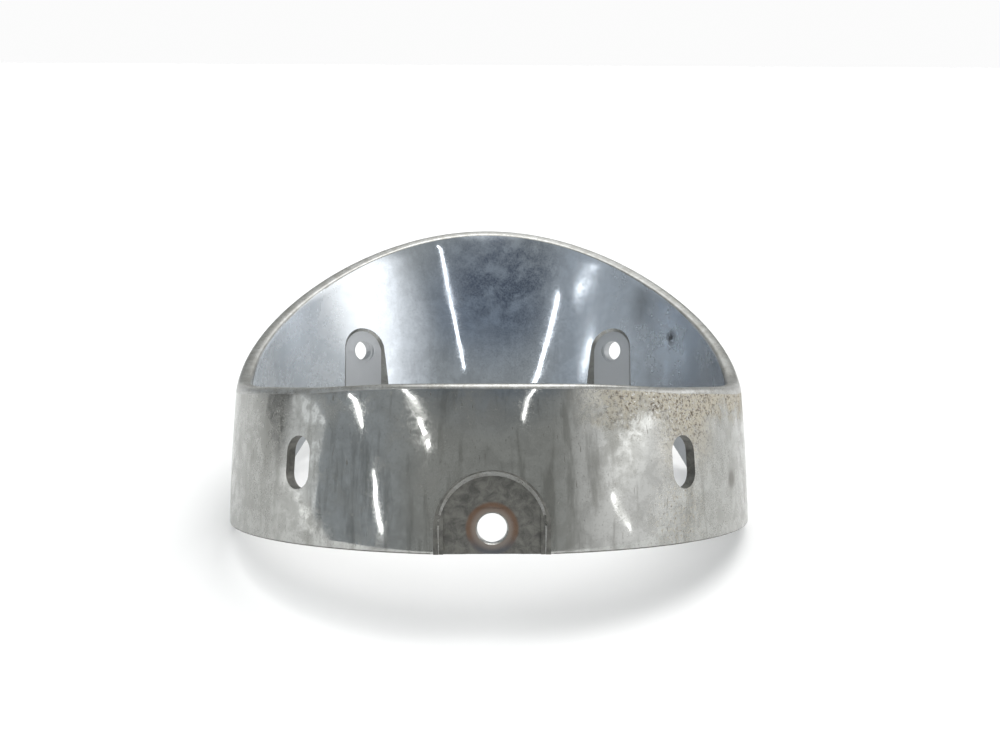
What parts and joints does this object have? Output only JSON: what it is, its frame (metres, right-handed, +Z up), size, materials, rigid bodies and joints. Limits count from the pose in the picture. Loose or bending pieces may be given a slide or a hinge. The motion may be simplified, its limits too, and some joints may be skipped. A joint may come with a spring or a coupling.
{
  "type": "headlight trim ring",
  "caption": "short plated casting that rings a round headlight, level at the front and rising to a tall visor at the back, with screw seats and side slots",
  "frame": {"origin": "middle of the outline on the surface that the ring stands on", "axes": "+Z up, +Y towards the visor, -Y towards the level front rim; the ring's own axis leans back from +Z towards +Y by 16.5 degrees"},
  "size_m": [0.192, 0.2284, 0.0862],
  "materials": {
    "worn_chrome": "worn bright plating with grime"
  },
  "bodies": {
    "root": {"trim_ring": "worn_chrome"}
  },
  "joints": []
}
